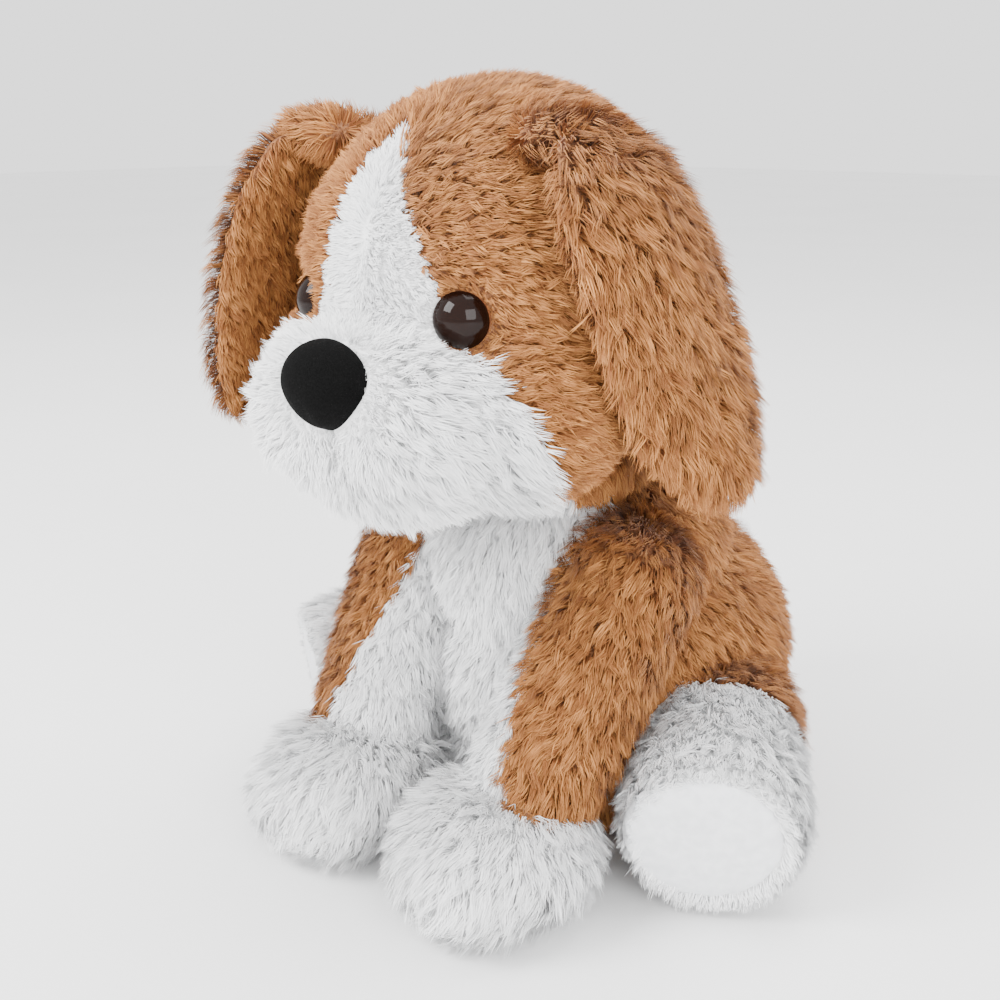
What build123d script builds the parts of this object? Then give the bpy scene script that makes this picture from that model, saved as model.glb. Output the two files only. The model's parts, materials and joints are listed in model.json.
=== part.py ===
from build123d import *

import os
from math import asin, cos, degrees, radians, sin

# Sizes in mm. The dog sits on z = 0 and faces -Y, and +X is its own left side.
PILE = 8.0  # a skin's thickness: backing cloth and pile together
GAP = 1.2  # air between a limb and its pocket
TAIL_ROOM = 5.0  # the same round the tail

# Torso, as (height, centre's y, radius) of its round sections.
TORSO_SECTIONS = ((0, 2, 62), (10, 2, 73), (30, 2, 80), (58, 0, 82), (90, -8, 75), (118, -20, 62), (148, -28, 54))
TORSO_TOP = 148.0
SEAT_RADIUS = 56.0
CHEST_HALF_WIDTH = 36.0

# Neck, a stuffed ball that the head nods on and the torso carries.
NECK_CENTRE = (0, -44, 157)
NECK_RADIUS = 30.0

# Head, a ball with an egg-shaped muzzle in front.
HEAD_CENTRE = (0, -62, 213)
HEAD_RADIUS = 74.0
MUZZLE_CENTRE = (0, -108, 178)
MUZZLE_RADII = (58, 48, 40)
HEAD_BOTTOM = 160.0
NAPE_FRONT = -92.0  # the head is flat underneath behind this line
CHIN_TOP = 158.0
BLAZE_TIP = 268.0
BLAZE_BOTTOM = 205.0
BLAZE_HALF_WIDTH = 21.0

# Safety eyes, on rays from the middle of the head.
EYE_AZIMUTH = 30.0
EYE_RADIUS = 9.0
BACKING = 1.5
PUPIL_RADIUS = 5.6
PUPIL_THICKNESS = 0.6
DOME_RISE = 5.2
SHANK_RADIUS = 2.2
WASHER_RADIUS = 7.0

# Flocked nose.
NOSE_CENTRE = (0, -150, 192)
NOSE_RADII = (18, 11, 14)
NOSE_BACK = -148.0
NOSE_SHANK_RADIUS = 2.5
NOSE_WASHER_RADIUS = 8.0

# Ears, flat pads hinged along their top edge.
EAR_HINGE = (73, -80, 262)
EAR_TILT = 15.0
EAR_HALF_THICKNESS = 7.0
EAR_HALF_ROOT = 25.0
EAR_SEAM_REACH = 45.0  # from the hinge in over the head
EAR_SEAM_HALF_HEIGHT = 4.0
EAR_FRONT = ((-25, 0), (-45, -31), (-41, -64), (-24, -97), (0, -118))
EAR_REAR = ((0, -118), (22, -121), (38, -104), (42, -66), (38, -28), (25, 0))

# Forelegs: shoulder, wrist and paw.
SHOULDER = (50, -50, 108)
SHOULDER_RADIUS = 27.0
WRIST = (41, -90, 46)
WRIST_RADIUS = 26.0
PAW_CENTRE = (38, -110, 25)
PAW_RADII = (35, 38, 28)
FORELEG_SWING = 24.0
LEG_SEAM_POINT = (41, -46, 107)
LEG_SEAM_NORMAL = (0.96, -0.22, 0.31)  # towards the brown side

# Hind legs: hip and foot, with a flat sole that faces forward.
HIP = (66, -10, 45)
HIP_RADIUS = 34.0
FOOT = (93, -54, 37)
FOOT_RADIUS = 34.0
SOLE_REACH = 20.0
SOLE_THICKNESS = 4.0
SOLE_RADIUS = 25.0
ANKLE = 14.0  # where the white foot starts, from the hip along the leg

# Tail.
TAIL_ROOT = (0, 76, 46)
TAIL_END = (0, 107, 74)
TAIL_ROOT_RADIUS = 14.0
TAIL_END_RADIUS = 11.0
TAIL_TIP_START = 24.0


def capsule(start, end, start_radius, end_radius):
    """Tapered tube from start to end with a ball at each end."""
    axis = Vector(*end) - Vector(*start)
    length = axis.length
    taper = degrees(asin((start_radius - end_radius) / length))
    with BuildPart() as tube:
        with BuildSketch(Plane.XZ):
            with BuildLine():
                first = CenterArc((0, 0), start_radius, -90, 90 + taper)
                last = CenterArc((0, length), end_radius, taper, 90 - taper)
                Line(first @ 1, last @ 0)
                Line(last @ 1, first @ 0)
            make_face()
        revolve(axis=Axis.Z)
    return tube.part.moved(Plane(origin=start, z_dir=axis).location)


def ellipsoid(centre, radii):
    with BuildPart() as egg:
        Sphere(10)
        scale(by=tuple(radius / 10 for radius in radii))
    return egg.part.moved(Location(centre))


def ball(centre, radius):
    with BuildPart() as sphere:
        Sphere(radius)
    return sphere.part.moved(Location(centre))


def block(low, high):
    """Box between two corners."""
    size = [b - a for a, b in zip(low, high)]
    middle = [(a + b) / 2 for a, b in zip(low, high)]
    with BuildPart() as box:
        Box(*size)
    return box.part.moved(Location(middle))


def disc(plane, radius, start, end):
    """Cylinder on a plane's normal, from one distance along it to another."""
    with BuildPart() as cylinder:
        with BuildSketch(plane.offset(start)):
            Circle(radius)
        extrude(amount=end - start)
    return cylinder.part


def torso_loft(inset, bottom, top):
    """Torso body, with its sections moved in by the inset and cut level at both ends."""
    with BuildPart() as body:
        for height, y, radius in TORSO_SECTIONS:
            with BuildSketch(Plane.XY.offset(height)):
                with Locations((0, y)):
                    Circle(radius - inset)
        loft()
        split(bisect_by=Plane.XY.offset(bottom), keep=Keep.TOP)
        split(bisect_by=Plane.XY.offset(top), keep=Keep.BOTTOM)
    return body.part


def swung(point, centre, angle):
    """A point turned about a left-right axis through a centre, in degrees."""
    forward, up = point[1] - centre[1], point[2] - centre[2]
    turn = radians(angle)
    return (
        point[0],
        centre[1] + forward * cos(turn) - up * sin(turn),
        centre[2] + forward * sin(turn) + up * cos(turn),
    )


def on_side(point, side):
    return (side * point[0], point[1], point[2])


def limb_spaces():
    """Solids that the limbs, the neck and the tail need clear of the torso."""
    spaces = []
    for side in (1, -1):
        for angle in (0, FORELEG_SWING / 2, FORELEG_SWING):
            wrist = on_side(swung(WRIST, SHOULDER, -angle), side)
            shoulder = on_side(SHOULDER, side)
            spaces.append(capsule(shoulder, wrist, SHOULDER_RADIUS + GAP, WRIST_RADIUS + GAP))
        hip_end, foot_end = on_side(HIP, side), on_side(FOOT, side)
        spaces.append(capsule(hip_end, foot_end, HIP_RADIUS + GAP, FOOT_RADIUS + GAP))
    spaces.append(ball(NECK_CENTRE, NECK_RADIUS + GAP))
    spaces.append(capsule(TAIL_ROOT, TAIL_END, TAIL_ROOT_RADIUS + TAIL_ROOM, TAIL_END_RADIUS + TAIL_ROOM))
    return spaces


pieces = {}


def keep(name, built):
    """Label a finished piece and hold it for writing."""
    built.part.label = name
    pieces[name] = built.part


def keep_pair(name, built):
    """Keep a left-hand piece, named with {}, and its mirror image for the right."""
    keep(name.format("left"), built)
    with BuildPart() as other:
        mirror(built.part, about=Plane.YZ)
    keep(name.format("right"), other)


# Torso: one stuffed bag of a chest, two back panels and a flat seat.
far = 400.0
torso_inside = torso_loft(PILE, PILE, TORSO_TOP - PILE)
with BuildPart() as torso_stuffing:
    add(torso_inside)
    for space in limb_spaces():
        add(space, mode=Mode.SUBTRACT)
keep("torso_stuffing", torso_stuffing)

with BuildPart() as torso_skin:
    add(torso_loft(0, 0, TORSO_TOP))
    add(torso_inside, mode=Mode.SUBTRACT)
    for space in limb_spaces():
        add(space, mode=Mode.SUBTRACT)

seat_round = disc(Plane.XY, SEAT_RADIUS, 0, PILE)
with BuildPart() as seat_panel:
    add(torso_skin.part)
    add(seat_round, mode=Mode.INTERSECT)
keep("seat_panel", seat_panel)

chest_space = block((-CHEST_HALF_WIDTH, -far, 0), (CHEST_HALF_WIDTH, -30, TORSO_TOP))
with BuildPart() as chest_panel:
    add(torso_skin.part)
    add(chest_space, mode=Mode.INTERSECT)
    add(seat_round, mode=Mode.SUBTRACT)
keep("chest_panel", chest_panel)

with BuildPart() as back_left_panel:
    add(torso_skin.part)
    add(chest_space, mode=Mode.SUBTRACT)
    add(seat_round, mode=Mode.SUBTRACT)
    split(bisect_by=Plane.YZ, keep=Keep.TOP)
keep_pair("back_{}_panel", back_left_panel)

# Neck.
with BuildPart() as neck_stuffing:
    add(ball(NECK_CENTRE, NECK_RADIUS - PILE))
keep("neck_stuffing", neck_stuffing)

with BuildPart() as neck_panel:
    add(ball(NECK_CENTRE, NECK_RADIUS))
    add(neck_stuffing.part, mode=Mode.SUBTRACT)
keep("neck_panel", neck_panel)

# Head: the outer and inner faces of its skin, both flat under the nape.
eye_ray = (sin(radians(EYE_AZIMUTH)), -cos(radians(EYE_AZIMUTH)), 0)
eye_plane = Plane(origin=HEAD_CENTRE, z_dir=eye_ray)
eye_seat = HEAD_RADIUS - PILE + BACKING
eye_base_front = eye_seat + 1.5
dome_back = eye_base_front + PUPIL_THICKNESS
eye_front = dome_back + DOME_RISE
eye_washer_back = eye_seat - BACKING - 2.6
nose_plane = Plane(origin=(0, 0, NOSE_CENTRE[2]), z_dir=(0, -1, 0))
nose_washer_front = -NOSE_BACK - 4.0
nape = block((-far, NAPE_FRONT, 0), (far, far, HEAD_BOTTOM))
nape_inside = block((-far, NAPE_FRONT - PILE, 0), (far, far, HEAD_BOTTOM + PILE))

with BuildPart() as eye_hardware:
    add(disc(eye_plane, WASHER_RADIUS, eye_washer_back, eye_washer_back + 2))
    add(disc(eye_plane, SHANK_RADIUS, eye_washer_back - 4, eye_seat))
    mirror(about=Plane.YZ)

with BuildPart() as nose_hardware:
    add(disc(nose_plane, NOSE_WASHER_RADIUS, nose_washer_front - 2, nose_washer_front))
    add(disc(nose_plane, NOSE_SHANK_RADIUS, nose_washer_front - 8, -NOSE_BACK))

with BuildPart() as head_stuffing:
    add(ball(HEAD_CENTRE, HEAD_RADIUS - PILE))
    add(ellipsoid(MUZZLE_CENTRE, [radius - PILE for radius in MUZZLE_RADII]))
    add(nape_inside, mode=Mode.SUBTRACT)
    add(ball(NECK_CENTRE, NECK_RADIUS + GAP), mode=Mode.SUBTRACT)
    add(eye_hardware.part, mode=Mode.SUBTRACT)
    add(nose_hardware.part, mode=Mode.SUBTRACT)
keep("head_stuffing", head_stuffing)

with BuildPart() as nose:
    add(ellipsoid(NOSE_CENTRE, NOSE_RADII))
    split(bisect_by=Plane.XZ.offset(-NOSE_BACK), keep=Keep.TOP)
keep("nose", nose)

with BuildPart() as eye_openings:
    add(disc(eye_plane, EYE_RADIUS + 0.3, eye_seat, eye_seat + 30))
    mirror(about=Plane.YZ)
head_openings = [ball(NECK_CENTRE, NECK_RADIUS + GAP), nape, eye_openings.part]
head_openings += [eye_hardware.part, nose_hardware.part, nose.part, head_stuffing.part]

muzzle_solid = ellipsoid(MUZZLE_CENTRE, MUZZLE_RADII)
with BuildPart() as head_skin:
    add(ball(HEAD_CENTRE, HEAD_RADIUS))
    add(muzzle_solid, mode=Mode.SUBTRACT)
    for opening in head_openings:
        add(opening, mode=Mode.SUBTRACT)

with BuildPart() as muzzle_skin:
    add(muzzle_solid)
    for opening in head_openings:
        add(opening, mode=Mode.SUBTRACT)

with BuildPart() as blaze_space:
    with BuildSketch(Plane.XZ.offset(-HEAD_CENTRE[1])):
        with BuildLine():
            right = Spline((BLAZE_HALF_WIDTH, BLAZE_BOTTOM), (0.7 * BLAZE_HALF_WIDTH, 236), (0, BLAZE_TIP))
            left = Spline(right @ 1, (-0.7 * BLAZE_HALF_WIDTH, 236), (-BLAZE_HALF_WIDTH, BLAZE_BOTTOM))
            Line(left @ 1, right @ 0)
        make_face()
    extrude(amount=far)

with BuildPart() as forehead_blaze:
    add(head_skin.part)
    add(blaze_space.part, mode=Mode.INTERSECT)
keep("forehead_blaze", forehead_blaze)

with BuildPart() as head_left_panel:
    add(head_skin.part)
    add(blaze_space.part, mode=Mode.SUBTRACT)
    split(bisect_by=Plane.YZ, keep=Keep.TOP)
keep_pair("head_{}_panel", head_left_panel)

with BuildPart() as chin_panel:
    add(muzzle_skin.part)
    split(bisect_by=Plane.XY.offset(CHIN_TOP), keep=Keep.BOTTOM)
keep("chin_panel", chin_panel)

with BuildPart() as muzzle_left_panel:
    add(muzzle_skin.part)
    split(bisect_by=Plane.XY.offset(CHIN_TOP), keep=Keep.TOP)
    split(bisect_by=Plane.YZ, keep=Keep.TOP)
keep_pair("muzzle_{}_panel", muzzle_left_panel)

# Nose fixing.
with BuildPart() as nose_shank:
    add(disc(nose_plane, NOSE_SHANK_RADIUS, nose_washer_front - 8, -NOSE_BACK))
keep("nose_shank", nose_shank)

with BuildPart() as nose_washer:
    add(disc(nose_plane, NOSE_WASHER_RADIUS, nose_washer_front - 2, nose_washer_front))
    add(nose_shank.part, mode=Mode.SUBTRACT)
keep("nose_washer", nose_washer)

# Eyes: a dark base with its shank, a pupil, a clear dome and a washer behind the cloth.
with BuildPart() as eye_pupil:
    add(disc(eye_plane, PUPIL_RADIUS, eye_base_front, dome_back))
keep_pair("eye_{}_pupil", eye_pupil)

with BuildPart() as eye_dome:
    rise = eye_front - dome_back
    dome_radius = (EYE_RADIUS**2 + rise**2) / (2 * rise)
    add(ball(tuple(eye_plane.offset(eye_front - dome_radius).origin), dome_radius))
    add(disc(eye_plane, EYE_RADIUS + 2, dome_back, eye_front + 1), mode=Mode.INTERSECT)
keep_pair("eye_{}_dome", eye_dome)

with BuildPart() as eye_base:
    add(disc(eye_plane, EYE_RADIUS, eye_seat, eye_base_front))
    add(disc(eye_plane, SHANK_RADIUS, eye_washer_back - 4, eye_seat))
keep_pair("eye_{}_base", eye_base)

with BuildPart() as eye_washer:
    add(disc(eye_plane, WASHER_RADIUS, eye_washer_back, eye_washer_back + 2))
    add(eye_base.part, mode=Mode.SUBTRACT)
keep_pair("eye_{}_washer", eye_washer)

# Ears: an outer cloth and a lining, rounded along the hinge, and a seam strip on the head.
ear_out = (cos(radians(EAR_TILT)), 0, sin(radians(EAR_TILT)))
ear_plane = Plane(origin=EAR_HINGE, x_dir=(0, 1, 0), z_dir=ear_out)
hinge_plane = Plane(origin=EAR_HINGE, z_dir=(0, 1, 0))
with BuildPart() as ear_pad:
    with BuildSketch(ear_plane):
        with BuildLine():
            front = Spline(*EAR_FRONT, tangents=((-1, -1), (1, -0.2)))
            rear = Spline(*EAR_REAR, tangents=((1, -0.2), (-1, 1)))
            Line(rear @ 1, front @ 0)
        make_face()
    extrude(amount=EAR_HALF_THICKNESS, both=True)
    add(disc(hinge_plane, EAR_HALF_THICKNESS, -EAR_HALF_ROOT, EAR_HALF_ROOT))

with BuildPart() as ear_outer:
    add(ear_pad.part)
    split(bisect_by=ear_plane, keep=Keep.TOP)
keep_pair("ear_{}_outer", ear_outer)

with BuildPart() as ear_lining:
    add(ear_pad.part)
    split(bisect_by=ear_plane, keep=Keep.BOTTOM)
keep_pair("ear_{}_lining", ear_lining)

seam_low = (EAR_HINGE[0] - EAR_SEAM_REACH, EAR_HINGE[1] - EAR_HALF_ROOT, EAR_HINGE[2] - EAR_SEAM_HALF_HEIGHT)
seam_high = (EAR_HINGE[0], EAR_HINGE[1] + EAR_HALF_ROOT, EAR_HINGE[2] + EAR_SEAM_HALF_HEIGHT)
with BuildPart() as ear_seam:
    add(block(seam_low, seam_high))
    add(ball(HEAD_CENTRE, HEAD_RADIUS), mode=Mode.SUBTRACT)
    add(disc(hinge_plane, EAR_HALF_THICKNESS + GAP, -far, far), mode=Mode.SUBTRACT)
keep_pair("ear_{}_seam", ear_seam)

# Forelegs: a brown outer and a white inner panel meet along the leg, with a white paw below.
leg_stuffing_solid = capsule(SHOULDER, WRIST, SHOULDER_RADIUS - PILE, WRIST_RADIUS - PILE)
paw_solid = ellipsoid(PAW_CENTRE, PAW_RADII)
side_plane = Plane(origin=LEG_SEAM_POINT, z_dir=LEG_SEAM_NORMAL)
with BuildPart() as foreleg_stuffing:
    add(leg_stuffing_solid)
    add(ellipsoid(PAW_CENTRE, [radius - PILE for radius in PAW_RADII]))
keep_pair("foreleg_{}_stuffing", foreleg_stuffing)

with BuildPart() as foreleg_skin:
    add(capsule(SHOULDER, WRIST, SHOULDER_RADIUS, WRIST_RADIUS))
    add(paw_solid, mode=Mode.SUBTRACT)
    add(foreleg_stuffing.part, mode=Mode.SUBTRACT)

with BuildPart() as foreleg_outer:
    add(foreleg_skin.part)
    split(bisect_by=side_plane, keep=Keep.TOP)
keep_pair("foreleg_{}_outer_panel", foreleg_outer)

with BuildPart() as foreleg_inner:
    add(foreleg_skin.part)
    split(bisect_by=side_plane, keep=Keep.BOTTOM)
keep_pair("foreleg_{}_inner_panel", foreleg_inner)

with BuildPart() as forepaw:
    add(paw_solid)
    split(bisect_by=Plane.XY, keep=Keep.TOP)
    add(foreleg_stuffing.part, mode=Mode.SUBTRACT)
keep_pair("forepaw_{}_panel", forepaw)

# Hind legs: a brown thigh, a white foot and a smooth sole, all square to the leg's axis.
leg_line = Vector(*FOOT) - Vector(*HIP)
hip_plane = Plane(origin=HIP, z_dir=leg_line)
sole_front = leg_line.length + SOLE_REACH
with BuildPart() as hind_stuffing:
    add(capsule(HIP, FOOT, HIP_RADIUS - PILE, FOOT_RADIUS - PILE))
    split(bisect_by=hip_plane.offset(sole_front - SOLE_THICKNESS), keep=Keep.BOTTOM)
keep_pair("hind_leg_{}_stuffing", hind_stuffing)

with BuildPart() as hind_skin:
    add(capsule(HIP, FOOT, HIP_RADIUS, FOOT_RADIUS))
    split(bisect_by=hip_plane.offset(sole_front), keep=Keep.BOTTOM)
    split(bisect_by=Plane.XY, keep=Keep.TOP)
    add(hind_stuffing.part, mode=Mode.SUBTRACT)

with BuildPart() as sole_pad:
    add(disc(hip_plane, SOLE_RADIUS, sole_front - SOLE_THICKNESS, sole_front))
keep_pair("sole_{}_pad", sole_pad)

with BuildPart() as thigh:
    add(hind_skin.part)
    split(bisect_by=hip_plane.offset(ANKLE), keep=Keep.BOTTOM)
keep_pair("thigh_{}_panel", thigh)

with BuildPart() as hind_foot:
    add(hind_skin.part)
    split(bisect_by=hip_plane.offset(ANKLE), keep=Keep.TOP)
    add(sole_pad.part, mode=Mode.SUBTRACT)
keep_pair("hind_foot_{}_panel", hind_foot)

# Tail.
tail_cloth = 5.0
tail_line = Vector(*TAIL_END) - Vector(*TAIL_ROOT)
tail_plane = Plane(origin=TAIL_ROOT, z_dir=tail_line).offset(TAIL_TIP_START)
with BuildPart() as tail_stuffing:
    add(capsule(TAIL_ROOT, TAIL_END, TAIL_ROOT_RADIUS - tail_cloth, TAIL_END_RADIUS - tail_cloth))
keep("tail_stuffing", tail_stuffing)

with BuildPart() as tail_skin:
    add(capsule(TAIL_ROOT, TAIL_END, TAIL_ROOT_RADIUS, TAIL_END_RADIUS))
    add(tail_stuffing.part, mode=Mode.SUBTRACT)

with BuildPart() as tail_panel:
    add(tail_skin.part)
    split(bisect_by=tail_plane, keep=Keep.BOTTOM)
keep("tail_panel", tail_panel)

with BuildPart() as tail_tip_panel:
    add(tail_skin.part)
    split(bisect_by=tail_plane, keep=Keep.TOP)
keep("tail_tip_panel", tail_tip_panel)

os.makedirs("parts", exist_ok=True)
for name, piece in pieces.items():
    export_step(piece, f"parts/{name}.step")
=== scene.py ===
import json
from math import cos, pi, radians, sin

import bmesh
import bpy
import numpy as np
from mathutils import Matrix, Vector


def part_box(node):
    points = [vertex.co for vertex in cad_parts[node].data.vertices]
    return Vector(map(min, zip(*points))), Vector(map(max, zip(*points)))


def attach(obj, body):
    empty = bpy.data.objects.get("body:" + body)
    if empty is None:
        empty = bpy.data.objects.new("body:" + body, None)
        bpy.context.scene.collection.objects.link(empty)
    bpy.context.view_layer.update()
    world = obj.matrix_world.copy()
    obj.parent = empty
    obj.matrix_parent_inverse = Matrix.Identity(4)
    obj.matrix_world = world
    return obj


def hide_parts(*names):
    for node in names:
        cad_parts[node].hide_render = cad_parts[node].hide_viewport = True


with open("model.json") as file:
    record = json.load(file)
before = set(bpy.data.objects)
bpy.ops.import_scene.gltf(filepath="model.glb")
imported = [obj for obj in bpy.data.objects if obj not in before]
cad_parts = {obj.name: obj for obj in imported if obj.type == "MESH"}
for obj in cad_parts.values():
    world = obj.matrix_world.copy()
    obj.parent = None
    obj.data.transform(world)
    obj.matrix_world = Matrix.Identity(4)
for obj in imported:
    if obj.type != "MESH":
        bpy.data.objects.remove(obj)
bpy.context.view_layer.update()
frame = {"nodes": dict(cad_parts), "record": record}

MM = 0.001
SIDES = (("left", 1), ("right", -1))

# Pile, in metres, and fibres per square millimetre.
BROWN_PILE = 0.0105
WHITE_PILE = 0.0120
PAW_PILE = 0.0135
BLAZE_PILE = 0.0055
SEAT_PILE = 0.004
FIBRES = 2.3
FIBRE_WIDTH = 0.00043
FIBRE_ROOT_DEPTH = 0.0008
FIBRE_LIFT = (58, 24)  # degrees off the skin, at the root and at the tip
TUFT_SIZE = 0.0029
TUFT_PULL = 0.55  # how far tips gather towards their tuft's middle
TUFT_WAIST_PULL = 0.2  # the same halfway up
SHORTEST_SHARE = 0.12  # a fibre trimmed below this share of its length is left out

# Skins, in metres.
VOXEL = 0.0026
CLOTH_THICKNESS = 0.0014
FLOOR_CLEARANCE = 0.0012
FLOOR_GAP = 0.0003

# Places and sizes on the dog, in mm.
HEAD_MIDDLE = (0, -62, 213)
NOSE_MIDDLE = (0, -150, 192)
EYES = [np.array((sign * 35.0, -124.0, 213.0)) for _, sign in SIDES]
EYE_CLEARING = 7.5
NOSE_CLEARING = (18.5, 16, 15)
SEAT_RADIUS = 56
SEAT_TOP = 6
CHEST_HALF_WIDTH = 36
CHEST_BACK = -28
THROAT_HALF_WIDTH = 34
THROAT_BACK = -56
BLAZE_TIP = 269
BLAZE_TAPER = 54
BLAZE_HALF_WIDTH = 24
LEG_SEAM_POINT = np.array((41, -46, 107.0))
LEG_SEAM_NORMAL = np.array((0.96, -0.22, 0.31))  # towards the brown side
HIP = np.array((66, -10, 45.0))
FOOT = np.array((93, -54, 37.0))
LEG_AXIS = (FOOT - HIP) / np.linalg.norm(FOOT - HIP)
ANKLE = 18  # where the white foot starts, from the hip along the leg
SOLE_REACH = np.linalg.norm(FOOT - HIP) + 20.5
SOLE_RADIUS = 27.5
SOLE_SHIFT = 3.5  # towards the middle of the dog
SOLE_CROWN = 2.6
TAIL_ROOT = np.array((0, 76, 46.0))
TAIL_END = np.array((0, 107, 74.0))
TAIL_TIP_START = 24


# ---------------------------------------------------------------- materials
def shader(name, colour, roughness, **sockets):
    """A Principled material with constants on its sockets."""
    material = bpy.data.materials.new(name)
    material.use_nodes = True
    principled = material.node_tree.nodes["Principled BSDF"]
    principled.inputs["Base Color"].default_value = (*colour, 1)
    principled.inputs["Roughness"].default_value = roughness
    for socket, value in sockets.items():
        principled.inputs[socket.replace("_", " ")].default_value = value
    return material


def mottled(material, dark, light, scale, bump, distance=0.0006):
    """Noise drives a material's colour and bump."""
    nodes, links = material.node_tree.nodes, material.node_tree.links
    principled = nodes["Principled BSDF"]
    place = nodes.new("ShaderNodeTexCoord")
    noise = nodes.new("ShaderNodeTexNoise")
    noise.inputs["Scale"].default_value = scale
    noise.inputs["Detail"].default_value = 6
    ramp = nodes.new("ShaderNodeValToRGB")
    ramp.color_ramp.elements[0].color = (*dark, 1)
    ramp.color_ramp.elements[1].color = (*light, 1)
    ramp.color_ramp.elements[0].position = 0.35
    ramp.color_ramp.elements[1].position = 0.65
    relief = nodes.new("ShaderNodeBump")
    relief.inputs["Strength"].default_value = bump
    relief.inputs["Distance"].default_value = distance
    links.new(place.outputs["Object"], noise.inputs["Vector"])
    links.new(noise.outputs["Fac"], ramp.inputs["Fac"])
    links.new(noise.outputs["Fac"], relief.inputs["Height"])
    links.new(ramp.outputs["Color"], principled.inputs["Base Color"])
    links.new(relief.outputs["Normal"], principled.inputs["Normal"])
    return material


def shades(name, dark, light, count=6):
    """Plain fibre materials that step from dark to light."""
    found = []
    for i in range(count):
        t = i / (count - 1)
        colour = [a + (b - a) * t for a, b in zip(dark, light)]
        found.append(shader(f"{name}_{i}", colour, 0.7, Sheen_Weight=0.06, Specular_IOR_Level=0.2))
    return found


brown_fur = shades("brown_fibre", (0.17, 0.052, 0.013), (0.52, 0.225, 0.068))
white_fur = shades("white_fibre", (0.80, 0.805, 0.81), (0.97, 0.97, 0.97))
brown_cloth = mottled(
    shader("brown_backing", (0.3, 0.13, 0.05), 0.9),
    (0.14, 0.05, 0.02),
    (0.30, 0.13, 0.05),
    900,
    0.6,
)
white_cloth = mottled(
    shader("white_backing", (0.8, 0.8, 0.8), 0.9),
    (0.80, 0.80, 0.80),
    (0.92, 0.92, 0.92),
    900,
    0.6,
)
satin = mottled(
    shader("sole_satin", (0.8, 0.8, 0.82), 0.42, Sheen_Weight=0.4),
    (0.70, 0.71, 0.73),
    (0.80, 0.81, 0.83),
    260,
    0.25,
)
filling = mottled(
    shader("fibre_filling", (0.85, 0.85, 0.83), 0.9),
    (0.70, 0.70, 0.68),
    (0.88, 0.88, 0.86),
    300,
    0.8,
)
flock = mottled(
    shader("black_flock", (0.003, 0.003, 0.003), 0.95, Specular_IOR_Level=0.06),
    (0.001, 0.001, 0.001),
    (0.004, 0.004, 0.004),
    2500,
    0.5,
)
fixing = mottled(
    shader("fixing_plastic", (0.7, 0.7, 0.68), 0.5),
    (0.66, 0.66, 0.64),
    (0.74, 0.74, 0.72),
    120,
    0.1,
)
pupil_black = mottled(
    shader("pupil_black", (0.004, 0.004, 0.004), 0.15),
    (0.003, 0.003, 0.003),
    (0.006, 0.006, 0.006),
    200,
    0.02,
)
iris_brown = mottled(
    shader("iris_brown", (0.16, 0.05, 0.02), 0.3),
    (0.12, 0.035, 0.014),
    (0.26, 0.09, 0.035),
    700,
    0.05,
)
eye_clear = shader("eye_clear", (0.014, 0.005, 0.003), 0.02, Transmission_Weight=0.4, IOR=1.25)


# ---------------------------------------------------------------- mesh tools
def mesh_object(name, vertices, faces, material):
    """A smooth mesh in one material."""
    mesh = bpy.data.meshes.new(name)
    mesh.from_pydata([tuple(v) for v in vertices], [], [tuple(f) for f in faces])
    mesh.materials.append(material)
    mesh.polygons.foreach_set("use_smooth", [True] * len(mesh.polygons))
    made = bpy.data.objects.new(name, mesh)
    bpy.context.scene.collection.objects.link(made)
    return made


def blob(eggs, rounds, voxel=VOXEL):
    """Points and quads of one smooth skin round several ellipsoids, given in mm as (centre, radii)."""
    pile = bmesh.new()
    for centre, radii in eggs:
        place = Matrix.Translation(Vector(centre) * MM) @ Matrix.Diagonal((*[r * MM for r in radii], 1))
        bmesh.ops.create_icosphere(pile, subdivisions=4, radius=1, matrix=place)
    mesh = bpy.data.meshes.new("blob")
    pile.to_mesh(mesh)
    pile.free()
    working = bpy.data.objects.new("blob", mesh)
    bpy.context.scene.collection.objects.link(working)
    remesh = working.modifiers.new("skin", "REMESH")
    remesh.mode = "VOXEL"
    remesh.voxel_size = voxel
    relax = working.modifiers.new("relax", "SMOOTH")
    relax.factor = 0.5
    relax.iterations = rounds
    solved = working.evaluated_get(bpy.context.evaluated_depsgraph_get()).to_mesh()
    points = np.empty(len(solved.vertices) * 3)
    solved.vertices.foreach_get("co", points)
    quads = np.array([list(p.vertices) for p in solved.polygons if len(p.vertices) == 4])
    bpy.data.objects.remove(working)
    return points.reshape(-1, 3), quads


def chain(start, end, first, last, count=6):
    """Round ellipsoids along a line, for a limb."""
    start, end = np.array(start, float), np.array(end, float)
    found = []
    for t in np.linspace(0, 1, count):
        radius = first + (last - first) * t
        found.append((tuple(start + (end - start) * t), (radius,) * 3))
    return found


def mirrored(eggs, side):
    """The same ellipsoids on the dog's left (1) or right (-1)."""
    return [((side * c[0], c[1], c[2]), r) for c, r in eggs]


def vertex_normals(points, faces):
    """Smooth normals of quads, weighted by area."""
    normals = np.zeros_like(points)
    a, b, c, d = (points[faces[:, i]] for i in range(4))
    face_normals = np.cross(c - a, d - b)
    for i in range(4):
        np.add.at(normals, faces[:, i], face_normals)
    return normals / (np.linalg.norm(normals, axis=1)[:, None] + 1e-12)


def lumps(points, normals, height, size, seed):
    """Small soft swells that a hand-filled skin has."""
    rng = np.random.default_rng(seed)
    total = np.zeros(len(points))
    for _ in range(7):
        direction = rng.normal(size=3)
        direction /= np.linalg.norm(direction)
        wave = size * rng.uniform(0.7, 1.5)
        total += np.sin(points @ direction * 2 * pi / wave + rng.uniform(0, 6.3))
    return points + normals * (total / 7 * height)[:, None]


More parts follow.
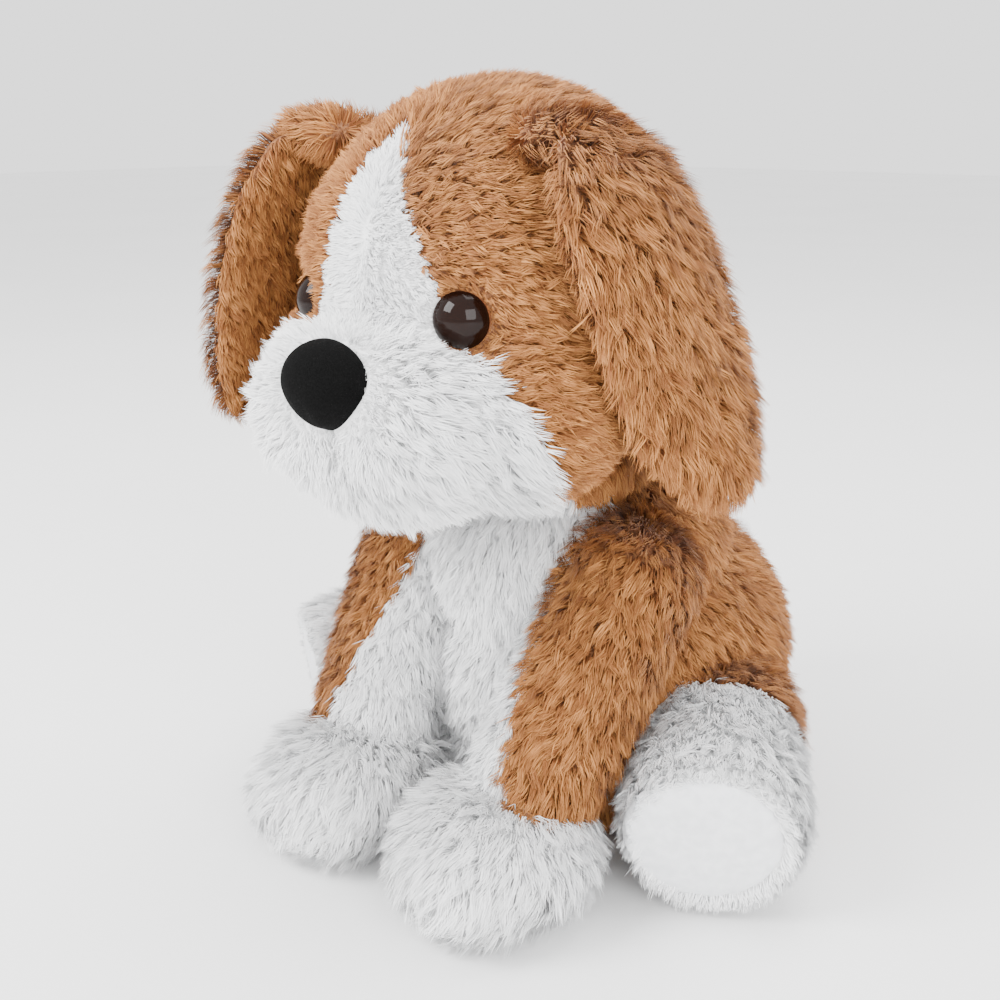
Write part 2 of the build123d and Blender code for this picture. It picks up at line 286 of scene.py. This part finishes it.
def fibres(
    name,
    points,
    faces,
    length,
    flow,
    materials,
    seed,
    density=FIBRES,
    lift=FIBRE_LIFT,
    width=FIBRE_WIDTH,
    clump=TUFT_SIZE,
    trim=None,
):
    """Tapered fibres that stand on quads, lean along the flow and gather into tufts."""
    rng = np.random.default_rng(seed)
    normals = vertex_normals(points, faces)
    corners = points[faces]
    diagonals = corners[:, 2] - corners[:, 0], corners[:, 3] - corners[:, 1]
    area = np.linalg.norm(np.cross(*diagonals), axis=1) / 2
    count = int(area.sum() * 1e6 * density)
    chosen = rng.choice(len(faces), count, p=area / area.sum())
    u, v = rng.random((2, count, 1))
    weights = [(1 - u) * (1 - v), u * (1 - v), u * v, (1 - u) * v]
    root = sum(w * points[faces[chosen, i]] for i, w in enumerate(weights))
    normal = sum(w * normals[faces[chosen, i]] for i, w in enumerate(weights))
    normal /= np.linalg.norm(normal, axis=1)[:, None]
    lean = flow(root)
    lean = lean - (lean * normal).sum(1)[:, None] * normal
    lean /= np.linalg.norm(lean, axis=1)[:, None] + 1e-9
    across = np.cross(normal, lean)
    cell = np.floor((root + rng.normal(0, clump * 0.18, root.shape)) / clump).astype(np.int64)
    key = cell[:, 0] * 73856093 ^ cell[:, 1] * 19349663 ^ cell[:, 2] * 83492791
    _, tuft = np.unique(key, return_inverse=True)
    tufts = tuft.max() + 1
    swing = rng.normal(0, 0.30, tufts)[tuft] + rng.normal(0, 0.22, count)
    swing += 0.25 * np.sin(root[:, 2] * 210 + root[:, 0] * 160) * np.cos(root[:, 1] * 190)
    lean = lean * np.cos(swing)[:, None] + across * np.sin(swing)[:, None]
    across = np.cross(normal, lean)
    if trim:
        share = trim(root / MM)
        kept = share > SHORTEST_SHARE
        root, normal, lean = root[kept], normal[kept], lean[kept]
        across, tuft, share = across[kept], tuft[kept], share[kept]
        count = len(root)
        length = length * share
    long = length * rng.uniform(0.72, 1.12, count) * rng.uniform(0.85, 1.1, tufts)[tuft]
    rise = rng.normal(0, 7, tufts)[tuft] + rng.normal(0, 5, count)
    low, high = np.radians(lift[0] + rise), np.radians(lift[1] + rise)
    reach = (0.5 * long)[:, None]
    middle = root + (lean * np.cos(low)[:, None] + normal * np.sin(low)[:, None]) * reach
    tip = middle + (lean * np.cos(high)[:, None] + normal * np.sin(high)[:, None]) * reach
    members = np.maximum(np.bincount(tuft, minlength=tufts), 1)[:, None]
    heart = np.stack([np.bincount(tuft, tip[:, i], tufts) for i in range(3)], 1) / members
    tip = tip * (1 - TUFT_PULL) + heart[tuft] * TUFT_PULL
    heart = np.stack([np.bincount(tuft, middle[:, i], tufts) for i in range(3)], 1) / members
    middle = middle * (1 - TUFT_WAIST_PULL) + heart[tuft] * TUFT_WAIST_PULL
    half = across * (width / 2 * rng.uniform(0.8, 1.3, count))[:, None]
    low_end = root - normal * FIBRE_ROOT_DEPTH
    strip = np.stack([low_end - half, low_end + half, middle + half * 0.85, middle - half * 0.85, tip], 1)
    strip[:, :, 2] = np.maximum(strip[:, :, 2], FLOOR_GAP)
    base = (np.arange(count) * 5)[:, None]
    loops = np.concatenate([base + [0, 1, 2, 3], base + [3, 2, 4]], 1).ravel()
    starts = (np.arange(count)[:, None] * 7 + [0, 4]).ravel()
    tone = 0.5 + 0.22 * rng.normal(0, 1, tufts)[tuft] + 0.20 * rng.normal(0, 1, count)
    step = np.clip(np.round(tone * (len(materials) - 1)), 1, len(materials) - 1).astype(int)
    # The root quad of each fibre takes the shade one step darker than its tip's: painted shade deep in
    # the pile, where the fibres shade each other.
    slots = np.stack([step - 1, step], 1).ravel()
    mesh = bpy.data.meshes.new(name)
    mesh.vertices.add(count * 5)
    mesh.vertices.foreach_set("co", strip.ravel())
    mesh.loops.add(count * 7)
    mesh.loops.foreach_set("vertex_index", loops)
    mesh.polygons.add(count * 2)
    mesh.polygons.foreach_set("loop_start", starts)
    for material in materials:
        mesh.materials.append(material)
    mesh.polygons.foreach_set("material_index", slots)
    mesh.polygons.foreach_set("use_smooth", np.ones(count * 2, bool))
    mesh.update(calc_edges=True)
    made = bpy.data.objects.new(name, mesh)
    bpy.context.scene.collection.objects.link(made)
    return made


def panel(node, body, points, faces, chosen, white, length, flow, seed, fill=0.75, heaps=1, **fur):
    """One cut panel of a skin, in place of a CAD node, with its pile in one or more heaps."""
    if not chosen.any():
        raise ValueError(f"no faces in {node}")
    part = faces[chosen]
    used, index = np.unique(part, return_inverse=True)
    index = index.reshape(part.shape)
    skin = mesh_object(f"skin_{node}", points[used], index, white_cloth if white else brown_cloth)
    thick = skin.modifiers.new("cloth", "SOLIDIFY")
    thick.thickness = CLOTH_THICKNESS
    thick.offset = -1
    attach(skin, body)
    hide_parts(node)
    fur_shades = white_fur if white else brown_fur
    upward = part[np.argsort(points[part][:, :, 2].mean(1), kind="stable")]
    for i, heap in enumerate(np.array_split(upward, heaps)):
        name = f"pile_{node}_{i + 1}" if heaps > 1 else f"pile_{node}"
        pile = fibres(name, points, heap, length, flow, fur_shades, seed + 100 * i, **fur)
        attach(pile, body)


def middles(points, faces):
    """Middles of the faces, in mm."""
    return points[faces].mean(1) / MM


def steady(x, y, z):
    """A flow that is the same everywhere."""
    return lambda p: np.tile(np.array([x, y, z], float), (len(p), 1))


# ---------------------------------------------------------------- head
def head_flow(p):
    """Pile parts over the forehead and runs back and down."""
    q = p / MM - HEAD_MIDDLE
    parting = 0.7 * np.tanh(q[:, 0] / 12) * np.clip(-q[:, 1] / 70, 0, 1)
    return np.stack([0.5 * q[:, 0] / 70 + parting, 0.9 + 0 * q[:, 0], -0.75 - 0.5 * q[:, 1] / 70], 1)


def face_trim(q):
    """Pile is clipped short round the eyes and the nose."""
    share = np.ones(len(q))
    for eye in EYES:
        away = np.linalg.norm(q - eye, axis=1)
        share = np.minimum(share, np.clip((away - EYE_CLEARING) / 9, 0, 1))
    away = np.linalg.norm((q - (0, -152, 192)) / NOSE_CLEARING, axis=1)
    return np.minimum(share, np.clip((away - 0.85) / 0.9, 0, 1))


def muzzle_flow(p):
    """Pile runs outward from the nose."""
    q = p / MM - NOSE_MIDDLE
    return np.stack([q[:, 0] / 34, 0.55 + 0 * q[:, 0], -0.55 + q[:, 2] / 42], 1)


head_eggs = [
    (HEAD_MIDDLE, (68, 68, 71)),
    ((0, -84, 221), (57, 47, 52)),
    ((34, -92, 183), (35, 36, 32)),
    ((-34, -92, 183), (35, 36, 32)),
    ((0, -112, 186), (44, 38, 30)),
    ((17, -126, 180), (27, 24, 24)),
    ((-17, -126, 180), (27, 24, 24)),
    ((0, -112, 164), (32, 30, 20)),
]
points, faces = blob(head_eggs, 14)
normals = vertex_normals(points, faces)
points = lumps(points, normals, 0.0008, 0.05, 11)
# A shallow seam runs down from the nose to the mouth.
groove = np.exp(-((points[:, 0] / MM / 2.2) ** 2)) * (points[:, 1] < -0.128) * (points[:, 2] < 0.186)
points = points - normals * (groove * 0.0032)[:, None]
m = middles(points, faces)
mouth = ((m[:, 0] / 61) ** 2 + ((m[:, 1] + 120) / 47) ** 2 + ((m[:, 2] - 172) / 38) ** 2) < 1
half_width = BLAZE_HALF_WIDTH * np.clip((BLAZE_TIP - m[:, 2]) / BLAZE_TAPER, 0, 1) ** 0.8
blaze_middle = np.clip(5 - 0.2 * (m[:, 2] - 222), -5, 5)  # it leans a few degrees
blaze = (m[:, 1] < -90) & (abs(m[:, 0] - blaze_middle) < half_width) & (m[:, 2] > 190) & ~mouth
chin = mouth & (m[:, 2] < 158)
brown = ~mouth & ~blaze
panel(
    "forehead_blaze", "head", points, faces, blaze, True, BLAZE_PILE, head_flow, 21,
    density=3.2, width=0.0004, lift=(36, 12), clump=0.002, trim=face_trim,
)
panel("chin_panel", "head", points, faces, chin, True, WHITE_PILE, muzzle_flow, 22, trim=face_trim)
for side, sign in SIDES:
    half = sign * m[:, 0] > 0
    panel(
        f"head_{side}_panel", "head", points, faces, brown & half, False, BROWN_PILE * 0.8,
        head_flow, 23 + sign, heaps=2, density=2.7, width=0.00042, lift=(46, 18), clump=0.0023,
        trim=face_trim,
    )
    panel(
        f"muzzle_{side}_panel", "head", points, faces, mouth & ~chin & half, True, WHITE_PILE,
        muzzle_flow, 26 + sign, trim=face_trim,
    )

# ---------------------------------------------------------------- torso and neck
torso_eggs = [
    ((0, 0, 62), (76, 76, 61)),
    ((0, 1, 27), (75, 75, 27)),
    ((0, 0, 16), (69, 69, 16)),
    ((0, -18, 112), (59, 56, 48)),
    ((0, -48, 112), (33, 30, 46)),
    ((0, -36, 60), (44, 34, 40)),
]
points, faces = blob(torso_eggs, 12)
points[:, 2] = np.maximum(points[:, 2], FLOOR_CLEARANCE)
normals = vertex_normals(points, faces)
points = lumps(points, normals, 0.0012, 0.06, 12)
points[:, 2] = np.maximum(points[:, 2], FLOOR_CLEARANCE)
m = middles(points, faces)
seat = (m[:, 2] < SEAT_TOP) & (np.hypot(m[:, 0], m[:, 1]) < SEAT_RADIUS)
chest = (abs(m[:, 0]) < CHEST_HALF_WIDTH) & (m[:, 1] < CHEST_BACK) & ~seat
panel(
    "seat_panel", "torso", points, faces, seat, False, SEAT_PILE, steady(0, 1, 0), 31,
    density=0.5, lift=(15, 5),
)
panel("chest_panel", "torso", points, faces, chest, True, WHITE_PILE, steady(0, 0.1, -1), 32)
for side, sign in SIDES:
    half = sign * m[:, 0] > 0
    panel(
        f"back_{side}_panel", "torso", points, faces, ~seat & ~chest & half, False, BROWN_PILE,
        steady(0, 0.15, -1), 33 + sign, heaps=2,
    )

points, faces = blob([((0, -42, 156), (46, 42, 24))], 2)
m = middles(points, faces)
neck_white = (m[:, 1] < THROAT_BACK) & (abs(m[:, 0]) < THROAT_HALF_WIDTH)
panel("neck_panel", "neck", points, faces, ~neck_white, False, BROWN_PILE, steady(0, 0.2, -1), 36)
throat = fibres("pile_throat", points, faces[neck_white], WHITE_PILE, steady(0, 0, -1), white_fur, 37)
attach(throat, "neck")

# ---------------------------------------------------------------- forelegs
shoulder, wrist, paw = (50, -50, 112), (42, -88, 50), (38, -109, 24)
for side, sign in SIDES:
    body = f"foreleg_{side}"
    eggs = chain(shoulder, wrist, 23, 22) + [(paw, (31, 34, 23)), ((38, -122, 21), (27, 22, 18))]
    points, faces = blob(mirrored(eggs, sign), 10)
    points[:, 2] = np.maximum(points[:, 2], FLOOR_CLEARANCE)
    normals = vertex_normals(points, faces)
    points = lumps(points, normals, 0.0008, 0.04, 13)
    points[:, 2] = np.maximum(points[:, 2], FLOOR_CLEARANCE)
    m = middles(points, faces) * (sign, 1, 1)
    foot = (m[:, 2] < 40 - 0.30 * (m[:, 1] + 100)) & (m[:, 2] < 60)
    outer = (m - LEG_SEAM_POINT) @ LEG_SEAM_NORMAL > 0
    down = steady(-0.12 * sign, -0.45, -0.85)

    def paw_flow(p, sign=sign):
        """Pile runs outward over the paw."""
        q = p / MM - (sign * 38, -96, 30)
        return np.stack([q[:, 0] / 30, q[:, 1] / 30 - 0.2, -0.5 + 0 * q[:, 0]], 1)

    panel(
        f"foreleg_{side}_outer_panel", body, points, faces, ~foot & outer, False, BROWN_PILE,
        down, 41 + sign,
    )
    panel(
        f"foreleg_{side}_inner_panel", body, points, faces, ~foot & ~outer, True,
        WHITE_PILE * 0.85, down, 44 + sign,
    )
    panel(f"forepaw_{side}_panel", body, points, faces, foot, True, PAW_PILE, paw_flow, 47 + sign)

# ---------------------------------------------------------------- hind legs
def sole(side, sign):
    """A smooth, slightly crowned oval with a puckered rim."""
    axis = LEG_AXIS * (sign, 1, 1)
    right = np.cross((0, 0, 1), axis)
    right /= np.linalg.norm(right)
    up = np.cross(axis, right)
    centre = HIP * (sign, 1, 1) + axis * (SOLE_REACH - 1.5) - right * sign * SOLE_SHIFT
    rings, spokes = 16, 96
    vertices = [centre + axis * SOLE_CROWN]
    for i in range(1, rings + 1):
        t = i / rings
        for k in range(spokes):
            turn = 2 * pi * k / spokes
            pucker = 0.22 * sin(turn * 17 + 0.6 * sin(3 * turn)) * t**6
            height = SOLE_CROWN * (1 - t**3.2) - 2.2 * max(0, t - 0.93) / 0.07 + pucker
            radius = SOLE_RADIUS * t
            spoke = right * radius * cos(turn) * 1.02 + up * radius * sin(turn) * 0.96
            vertices.append(centre + spoke + axis * height)
    faces = [(0, 1 + k, 1 + (k + 1) % spokes) for k in range(spokes)]
    for i in range(rings - 1):
        for k in range(spokes):
            a, b = 1 + i * spokes + k, 1 + i * spokes + (k + 1) % spokes
            faces.append((a, a + spokes, b + spokes, b))
    pad = mesh_object(f"pad_sole_{side}", np.array(vertices) * MM, faces, satin)
    pad.modifiers.new("cloth", "SOLIDIFY").thickness = 0.0012
    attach(pad, f"hind_leg_{side}")
    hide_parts(f"sole_{side}_pad")


for side, sign in SIDES:
    body = f"hind_leg_{side}"
    eggs = chain(HIP, FOOT, 29, 30)
    eggs += chain(FOOT, FOOT + LEG_AXIS * 14, 30.5, 28.5, 4)
    points, faces = blob(mirrored(eggs, sign), 6)
    axis = LEG_AXIS * (sign, 1, 1)
    along = (points / MM - HIP * (sign, 1, 1)) @ axis
    points = points - np.maximum(along - SOLE_REACH + 2.5, 0)[:, None] * axis * MM
    points[:, 2] = np.maximum(points[:, 2], FLOOR_CLEARANCE)
    m = middles(points, faces)
    along = (m - HIP * (sign, 1, 1)) @ axis
    radial = np.linalg.norm(m - HIP * (sign, 1, 1) - along[:, None] * axis, axis=1)
    white = along > ANKLE
    bare = (along > SOLE_REACH - 8) & (radial < 23)

    def foot_flow(p, axis=axis, sign=sign):
        """Pile runs along the foot and flares at the sole."""
        q = p / MM - FOOT * (sign, 1, 1)
        s = q @ axis
        out = q - s[:, None] * axis
        return axis + out / 40 * np.clip((s - 10) / 12, 0, 1)[:, None] + np.array((0, 0, -0.25))

    def sole_trim(q, axis=axis, sign=sign):
        """Pile shortens towards the sole's rim, which it doesn't hang over."""
        return np.clip((SOLE_REACH + 5 - (q - HIP * (sign, 1, 1)) @ axis) / 16, 0.3, 1)

    panel(
        f"thigh_{side}_panel", body, points, faces, ~white, False, BROWN_PILE,
        steady(sign * 0.3, -0.2, -0.9), 51 + sign,
    )
    panel(
        f"hind_foot_{side}_panel", body, points, faces, white & ~bare, True, PAW_PILE * 0.85,
        foot_flow, 54 + sign, lift=(44, 16), trim=sole_trim,
    )
    sole(side, sign)

# ---------------------------------------------------------------- ears
EAR_ROWS, EAR_RING = 56, 56
# Each row is a share of the ear's length, its centre (x, y, z) in mm and its half width.
# The left ear lies back against the cheek, and the right one hangs straighter and stands out.
EAR_ROW_KEYS = {
    "left": (
        (0.00, (65, -85, 264), 16),
        (0.08, (69, -84, 259), 26),
        (0.25, (75, -80, 238), 37),
        (0.50, (80, -70, 206), 35),
        (0.75, (84, -60, 176), 28),
        (0.93, (86, -50, 157), 17),
        (1.00, (86, -47, 151), 5),
    ),
    "right": (
        (0.00, (65, -85, 264), 16),
        (0.08, (70, -86, 259), 26),
        (0.25, (80, -86, 240), 34),
        (0.50, (91, -86, 210), 35),
        (0.75, (97, -90, 184), 31),
        (0.93, (98, -94, 167), 20),
        (1.00, (98, -96, 161), 5),
    ),
}


def ear_surface(side, sign):
    """Points and quads of a flat, curled ear between its rows."""
    keys = EAR_ROW_KEYS[side]
    share = np.array([k[0] for k in keys])
    spots = np.array([k[1] for k in keys], float)
    widths = np.array([k[2] for k in keys], float)
    rows = 0.5 - 0.5 * np.cos(np.linspace(0, pi, EAR_ROWS))
    centre = np.stack([np.interp(rows, share, spots[:, i]) for i in range(3)], 1)
    wide = np.interp(rows, share, widths)
    for _ in range(3):
        centre[1:-1] = (centre[:-2] + 2 * centre[1:-1] + centre[2:]) / 4
        wide[1:-1] = (wide[:-2] + 2 * wide[1:-1] + wide[2:]) / 4
    points, quads = [], []
    for i in range(EAR_ROWS):
        thick = 5.5 * (1 - (2 * rows[i] - 1) ** 8) + 0.8
        for k in range(EAR_RING):
            turn = 2 * pi * k / EAR_RING
            across, out = cos(turn) * wide[i], sin(turn) * thick
            curl = -6 * (cos(turn) ** 2) * (1 - 0.5 * rows[i]) + 1.2 * sin(9 * rows[i] + 2 * across / 30)
            slope = -0.30 * across * (1 - rows[i]) ** 2
            x, y, z = centre[i]
            points.append(((x + out + curl) * sign, y + across, z + slope))
    for i in range(EAR_ROWS - 1):
        for k in range(EAR_RING):
            a, b = i * EAR_RING + k, i * EAR_RING + (k + 1) % EAR_RING
            quad = (a, a + EAR_RING, b + EAR_RING, b)
            quads.append(quad if sign < 0 else quad[::-1])
    return np.array(points) * MM, np.array(quads)


for side, sign in SIDES:
    points, faces = ear_surface(side, sign)
    outward = (np.arange(len(faces)) % EAR_RING) < EAR_RING // 2
    down = steady(0, 0.12, -1)
    panel(
        f"ear_{side}_outer", f"ear_{side}", points, faces, outward, False, BROWN_PILE * 1.1,
        down, 61 + sign, fill=0.4,
    )
    panel(
        f"ear_{side}_lining", f"ear_{side}", points, faces, ~outward, False, BROWN_PILE * 0.7,
        down, 64 + sign, fill=0.4,
    )
    spots = [(x, y) for x in (46, 54, 61) for y in (-15, -5, 5, 15)]
    points, faces = blob([((sign * x, -82 + y, 263 - 0.3 * y), (7, 8, 5)) for x, y in spots], 3)
    every = np.ones(len(faces), bool)
    panel(
        f"ear_{side}_seam", "head", points, faces, every, False, BROWN_PILE,
        steady(sign, 0.3, -0.3), 67 + sign, fill=0.3,
    )

# ---------------------------------------------------------------- tail
tail_axis = (TAIL_END - TAIL_ROOT) / np.linalg.norm(TAIL_END - TAIL_ROOT)
points, faces = blob(chain(TAIL_ROOT, TAIL_END, 9, 6.5), 4, 0.0018)
m = middles(points, faces)
tip = (m - TAIL_ROOT) @ tail_axis > TAIL_TIP_START
panel("tail_panel", "tail", points, faces, ~tip, False, BROWN_PILE, steady(*tail_axis), 71)
panel("tail_tip_panel", "tail", points, faces, tip, True, WHITE_PILE * 0.9, steady(*tail_axis), 72)

# ---------------------------------------------------------------- nose
nose_low, nose_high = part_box("nose")
nose_middle = (np.array(nose_low) + np.array(nose_high)) / 2


def moulded_nose():
    """A rounded, wide-topped bean with a soft dent between two nostril swells."""
    form = bmesh.new()
    bmesh.ops.create_icosphere(form, subdivisions=6, radius=1)
    for vertex in form.verts:
        x, y, z = vertex.co
        x *= 1 - 0.20 * max(0, -z) ** 1.3
        y = y * (1 + 0.10 * z) if y < 0 else y * 0.5
        dent = 0.05 * np.exp(-((x / 0.12) ** 2)) * (z < 0) * -z
        vertex.co = (x * 17.4 * MM, (y * 13.5 + dent * 13) * MM + 0.002, z * 14.6 * MM)
    mesh = bpy.data.meshes.new("nose_shell")
    form.to_mesh(mesh)
    form.free()
    mesh.materials.append(flock)
    mesh.polygons.foreach_set("use_smooth", [True] * len(mesh.polygons))
    shell = bpy.data.objects.new("nose_shell", mesh)
    shell.location = Vector((0, nose_high[1], nose_middle[2]))
    bpy.context.scene.collection.objects.link(shell)
    return shell


shell = moulded_nose()
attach(shell, "head")
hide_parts("nose")

# ---------------------------------------------------------------- filling
for node in [name for name in frame["nodes"] if name.endswith("_stuffing")]:
    source = frame["nodes"][node]
    body = next(b for b, names in frame["record"]["behaviour"]["bodies"].items() if node in names)
    clump = bpy.data.objects.new(f"filling_{node}", source.data.copy())
    bpy.context.scene.collection.objects.link(clump)
    remesh = clump.modifiers.new("lump", "REMESH")
    remesh.mode = "VOXEL"
    remesh.voxel_size = 0.005
    evaluated = clump.evaluated_get(bpy.context.evaluated_depsgraph_get())
    mesh = bpy.data.meshes.new_from_object(evaluated)
    clump.modifiers.clear()
    clump.data = mesh
    co = np.empty(len(mesh.vertices) * 3)
    mesh.vertices.foreach_get("co", co)
    co = co.reshape(-1, 3)
    no = np.array([v.normal[:] for v in mesh.vertices])
    co = lumps(co, no, 0.0016, 0.016, 5) - no * 0.0045
    mesh.vertices.foreach_set("co", co.ravel())
    mesh.materials.clear()
    mesh.materials.append(filling)
    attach(clump, body)
    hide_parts(node)

# ---------------------------------------------------------------- CAD pieces that stay
finishes = {
    "dome": eye_clear,
    "pupil": pupil_black,
    "base": iris_brown,
    "washer": fixing,
    "shank": fixing,
}
for name, node in frame["nodes"].items():
    kind = name.split("_")[-1]
    if kind in finishes:
        for place in node.material_slots:
            place.material = finishes[kind]

# ---------------------------------------------------------------- stage
bpy.ops.mesh.primitive_plane_add(size=12)
floor = bpy.context.object
pale = mottled(shader("floor", (0.9, 0.9, 0.9), 0.7), (0.90, 0.90, 0.90), (0.92, 0.92, 0.92), 3, 0.02)
floor.data.materials.append(pale)

world = bpy.data.worlds.new("studio")
bpy.context.scene.world = world
world.use_nodes = True
world.node_tree.nodes["Background"].inputs["Color"].default_value = (1, 1, 1, 1)
world.node_tree.nodes["Background"].inputs["Strength"].default_value = 1.9


def soft_light(name, place, aim, size, power):
    lamp = bpy.data.lights.new(name, "AREA")
    lamp.size = size
    lamp.energy = power
    made = bpy.data.objects.new(name, lamp)
    made.location = place
    made.rotation_euler = (Vector(aim) - Vector(place)).to_track_quat("-Z", "Y").to_euler()
    bpy.context.scene.collection.objects.link(made)


soft_light("key", (-0.5, -1.1, 1.0), (0, -0.06, 0.14), 0.7, 32)
soft_light("fill", (1.3, -0.7, 0.7), (0, -0.06, 0.14), 0.9, 26)
soft_light("top", (0.1, 0.3, 1.5), (0, 0, 0.14), 1.0, 20)

CAMERA_DISTANCE = 0.470
azimuth, elevation = radians(41), radians(17)
aim = Vector((0, -0.064, 0.135))
away = Vector((sin(azimuth) * cos(elevation), -cos(azimuth) * cos(elevation), sin(elevation)))
lens = bpy.data.cameras.new("camera")
lens.sensor_width = 36
lens.lens = 45
lens.clip_start = 0.01
camera = bpy.data.objects.new("camera", lens)
camera.location = aim + away * CAMERA_DISTANCE
camera.rotation_euler = away.to_track_quat("Z", "Y").to_euler()
bpy.context.scene.collection.objects.link(camera)
bpy.context.scene.camera = camera
